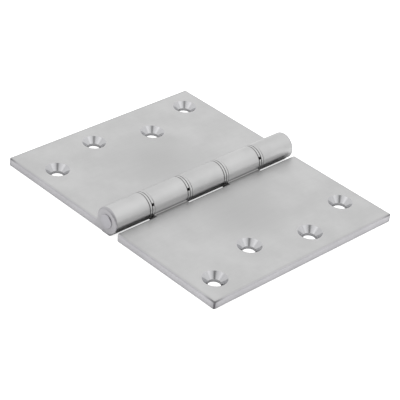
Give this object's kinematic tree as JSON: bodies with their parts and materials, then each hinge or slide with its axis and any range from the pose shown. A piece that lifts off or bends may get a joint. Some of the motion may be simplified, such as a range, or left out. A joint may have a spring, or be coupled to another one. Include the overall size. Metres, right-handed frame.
{
  "type": "projection hinge",
  "caption": "Wide flat butt hinge whose broad leaves reach past the knuckles, with double washers and zigzag countersunk screw holes.",
  "frame": {"origin": "under the middle of the pin, in the plane of the leaves' backs, with the hinge open flat", "axes": "+X across the leaves towards the two-knuckle leaf, +Y along the pin, +Z out of the screw faces"},
  "size_m": [0.127, 0.1028, 0.0118],
  "materials": {
    "satin_leaf": "satin",
    "satin_pin": "satin",
    "satin_washer": "satin"
  },
  "bodies": {
    "fixed_leaf": {"leaf_three_knuckle": "satin_leaf", "hinge_pin": "satin_pin", "washer_joint_1_fixed": "satin_washer", "washer_joint_2_fixed": "satin_washer", "washer_joint_3_fixed": "satin_washer", "washer_joint_4_fixed": "satin_washer"},
    "swing_leaf": {"leaf_two_knuckle": "satin_leaf", "washer_joint_1_swing": "satin_washer", "washer_joint_2_swing": "satin_washer", "washer_joint_3_swing": "satin_washer", "washer_joint_4_swing": "satin_washer"}
  },
  "joints": [
    {"name": "leaf_swing", "type": "hinge", "parent": "fixed_leaf", "child": "swing_leaf", "pos_m": [0, 0, 0.0059], "axis": [0, -1, 0], "range_deg": [-97, 180]}
  ]
}
